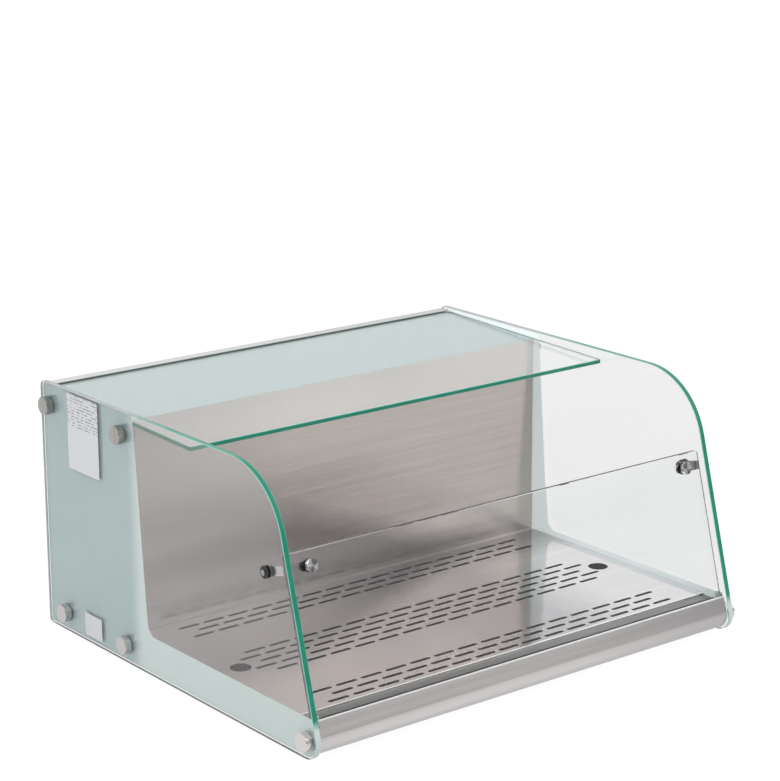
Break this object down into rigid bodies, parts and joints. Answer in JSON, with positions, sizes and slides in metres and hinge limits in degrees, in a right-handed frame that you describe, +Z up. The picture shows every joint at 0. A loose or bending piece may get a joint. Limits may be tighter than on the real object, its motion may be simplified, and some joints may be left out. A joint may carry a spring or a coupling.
{
  "type": "refrigerated display case",
  "caption": "Low counter-top chilled display case with glass side panes, sloping top pane, leaning front pane and perforated lift-out deck.",
  "frame": {"origin": "centre of the footprint at the underside of the feet", "axes": "+Z up, -Y towards the open serving side, +X to the viewer's right"},
  "size_m": [0.732, 0.623, 0.354],
  "materials": {
    "clear_glass": "clear toughened float glass with green edges",
    "frost_print": "pale mint printed band behind the glass",
    "brushed_steel": "brushed stainless steel",
    "polished_chrome": "polished, turned",
    "black_rubber": "matte black rubber",
    "grey_steel": "satin grey sheet steel",
    "zinc_fixings": "bright zinc",
    "rail_aluminium": "satin anodised",
    "copper_tube": "bare copper tube",
    "black_plastic": "fine-grained black plastic",
    "black_paint": "black enamel",
    "white_foam": "closed-cell insulation",
    "stainless_well": "plain stainless steel",
    "clear_plastic": "clear moulded plastic",
    "tape": "grey bonding tape"
  },
  "bodies": {
    "case": {"back_wall": "brushed_steel", "base_pan": "grey_steel", "bolt_nuts": "zinc_fixings", "bolt_rubbers": "black_rubber", "bonding_tape": "tape", "bracket_bolts": "brushed_steel", "bracket_washers": "black_rubber", "cold_well": "stainless_well", "compressor": "black_paint", "compressor_grommets": "black_rubber", "condenser_coil": "copper_tube", "condenser_fins": "rail_aluminium", "condenser_motor": "black_paint", "condenser_shroud": "grey_steel", "control_box": "grey_steel", "controller": "black_plastic", "corner_shoes": "clear_plastic", "discharge_line": "copper_tube", "display_lens": "clear_plastic", "drain_plug": "black_rubber", "evaporator_coil": "copper_tube", "evaporator_fins": "rail_aluminium", "feet": "black_rubber", "filter_drier": "copper_tube", "floor_foam": "white_foam", "front_buttons": "polished_chrome", "front_glass": "clear_glass", "front_profile": "brushed_steel", "frost_bands": "frost_print", "glass_seat": "black_rubber", "housing_sides": "grey_steel", "left_air_fan_frame": "black_plastic", "left_bracket": "brushed_steel", "left_side_glass": "clear_glass", "liquid_lines": "copper_tube", "mains_inlet": "black_plastic", "profile_ends": "brushed_steel", "rear_foam": "white_foam", "rear_panel": "grey_steel", "rear_panel_screws": "zinc_fixings", "rear_rail": "rail_aluminium", "right_air_fan_frame": "black_plastic", "right_bracket": "brushed_steel", "right_side_glass": "clear_glass", "rocker_frame": "black_plastic", "side_bolts": "brushed_steel", "start_relay": "black_plastic", "suction_line": "copper_tube", "top_cover": "grey_steel", "top_glass": "clear_glass"},
    "deck": {"deck": "brushed_steel"},
    "left_air_wheel": {"left_air_fan_wheel": "black_plastic"},
    "right_air_wheel": {"right_air_fan_wheel": "black_plastic"},
    "condenser_wheel": {"condenser_fan": "black_plastic"},
    "power_rocker": {"rocker_key": "black_plastic"},
    "set_button": {"button_set": "black_plastic"},
    "down_button": {"button_down": "black_plastic"},
    "up_button": {"button_up": "black_plastic"},
    "power_button": {"button_power": "black_plastic"}
  },
  "joints": [
    {"name": "deck_lift", "type": "slide", "parent": "case", "child": "deck", "axis": [0, 0, 1], "range_m": [0, 0.09]},
    {"name": "left_air_fan_spin", "type": "hinge", "parent": "case", "child": "left_air_wheel", "pos_m": [-0.12, -0.0045, 0.034], "axis": [0, 0, 1], "continuous": true},
    {"name": "right_air_fan_spin", "type": "hinge", "parent": "case", "child": "right_air_wheel", "pos_m": [0.12, -0.0045, 0.034], "axis": [0, 0, 1], "continuous": true},
    {"name": "condenser_fan_spin", "type": "hinge", "parent": "case", "child": "condenser_wheel", "pos_m": [0.06, 0.235, 0.156], "axis": [0, 1, 0], "continuous": true},
    {"name": "power_rocker_tilt", "type": "hinge", "parent": "case", "child": "power_rocker", "pos_m": [0.27, 0.306, 0.211], "axis": [0, 0, 1], "range_deg": [0, 16]},
    {"name": "set_button_press", "type": "slide", "parent": "case", "child": "set_button", "axis": [0, -1, 0], "range_m": [0, 0.0008], "stiffness_N_per_m": 300},
    {"name": "down_button_press", "type": "slide", "parent": "case", "child": "down_button", "axis": [0, -1, 0], "range_m": [0, 0.0008], "stiffness_N_per_m": 300},
    {"name": "up_button_press", "type": "slide", "parent": "case", "child": "up_button", "axis": [0, -1, 0], "range_m": [0, 0.0008], "stiffness_N_per_m": 300},
    {"name": "power_button_press", "type": "slide", "parent": "case", "child": "power_button", "axis": [0, -1, 0], "range_m": [0, 0.0008], "stiffness_N_per_m": 300}
  ]
}
